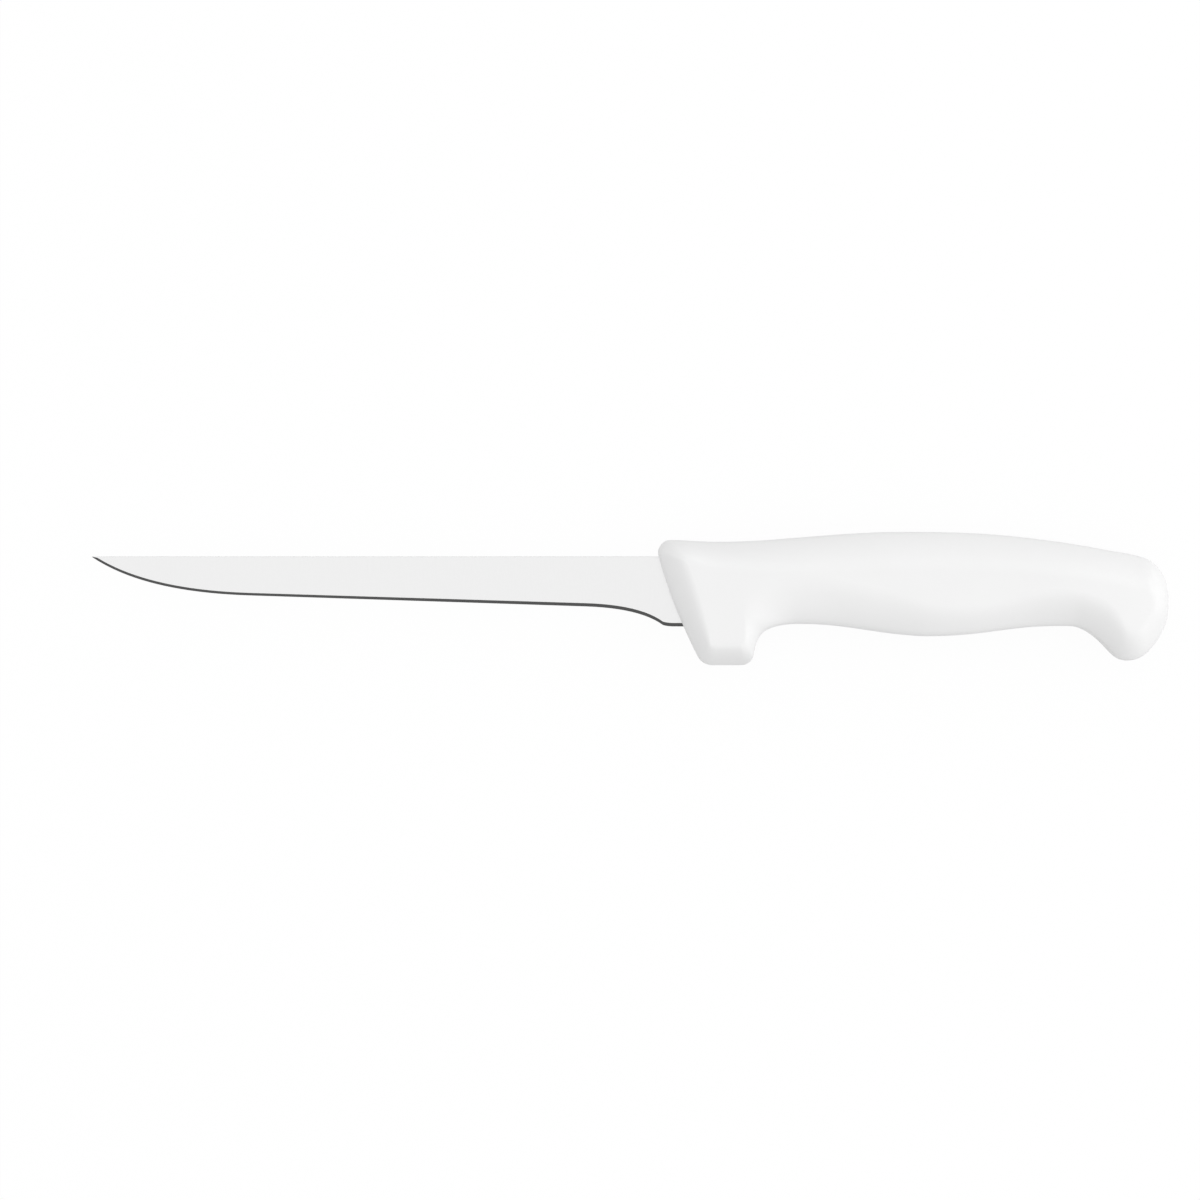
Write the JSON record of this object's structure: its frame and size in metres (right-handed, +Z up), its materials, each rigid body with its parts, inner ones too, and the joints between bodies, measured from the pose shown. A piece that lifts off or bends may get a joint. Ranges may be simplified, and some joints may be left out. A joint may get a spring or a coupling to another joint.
{
  "type": "boning knife",
  "caption": "Flexible boning knife: narrow satin steel blade with a swept point, moulded into a white plastic handle with a deep finger guard, palm swell and hooked butt.",
  "frame": {"origin": "centre of the footprint, on the surface that the knife lies on", "axes": "+X from the blade's point to the butt, +Y from the cutting edge to the back, +Z up through the thickness, as the knife lies on its side"},
  "size_m": [0.289, 0.0358, 0.019],
  "materials": {
    "blade_steel": "satin ground sides with a finer ground cutting bevel",
    "handle_plastic": "white polypropylene, moulded with a fine matt grain"
  },
  "bodies": {
    "root": {"blade": "blade_steel", "handle": "handle_plastic"}
  },
  "joints": []
}
